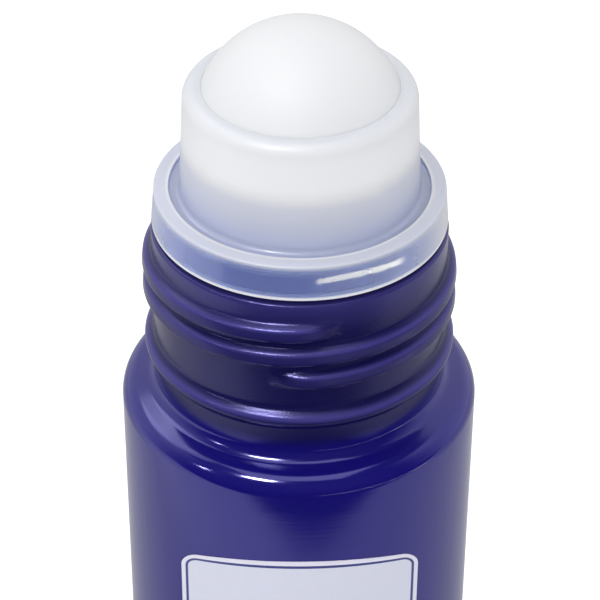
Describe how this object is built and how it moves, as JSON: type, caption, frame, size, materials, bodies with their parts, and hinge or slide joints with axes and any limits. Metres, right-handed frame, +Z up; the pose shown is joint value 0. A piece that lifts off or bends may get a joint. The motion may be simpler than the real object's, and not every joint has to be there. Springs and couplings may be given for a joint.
{
  "type": "roll-on bottle",
  "caption": "Round plastic roll-on bottle with a threaded neck, a snap-in translucent ball housing, a white roller ball that turns freely and a label on the front.",
  "frame": {"origin": "middle of the standing face on the base of the bottle", "axes": "+Z up along the bottle's axis to the roller ball, -Y out of the front label, +X to the right seen from the front"},
  "size_m": [0.0448, 0.0449, 0.1078],
  "materials": {
    "bottle_plastic": "deep indigo blow-moulded polyethylene, glossy",
    "housing_plastic": "natural translucent polyethylene, softly glossy",
    "ball_plastic": "ground white polypropylene, satin gloss",
    "label_film": "pale lavender printed film with a white border and a thin blue line"
  },
  "bodies": {
    "bottle": {"bottle": "bottle_plastic", "ball_housing": "housing_plastic", "front_label": "label_film"},
    "ball": {"roller_ball": "ball_plastic"}
  },
  "joints": [
    {"name": "ball_roll", "type": "hinge", "parent": "bottle", "child": "ball", "pos_m": [0, 0, 0.09508], "axis": [1, 0, 0], "continuous": true}
  ]
}
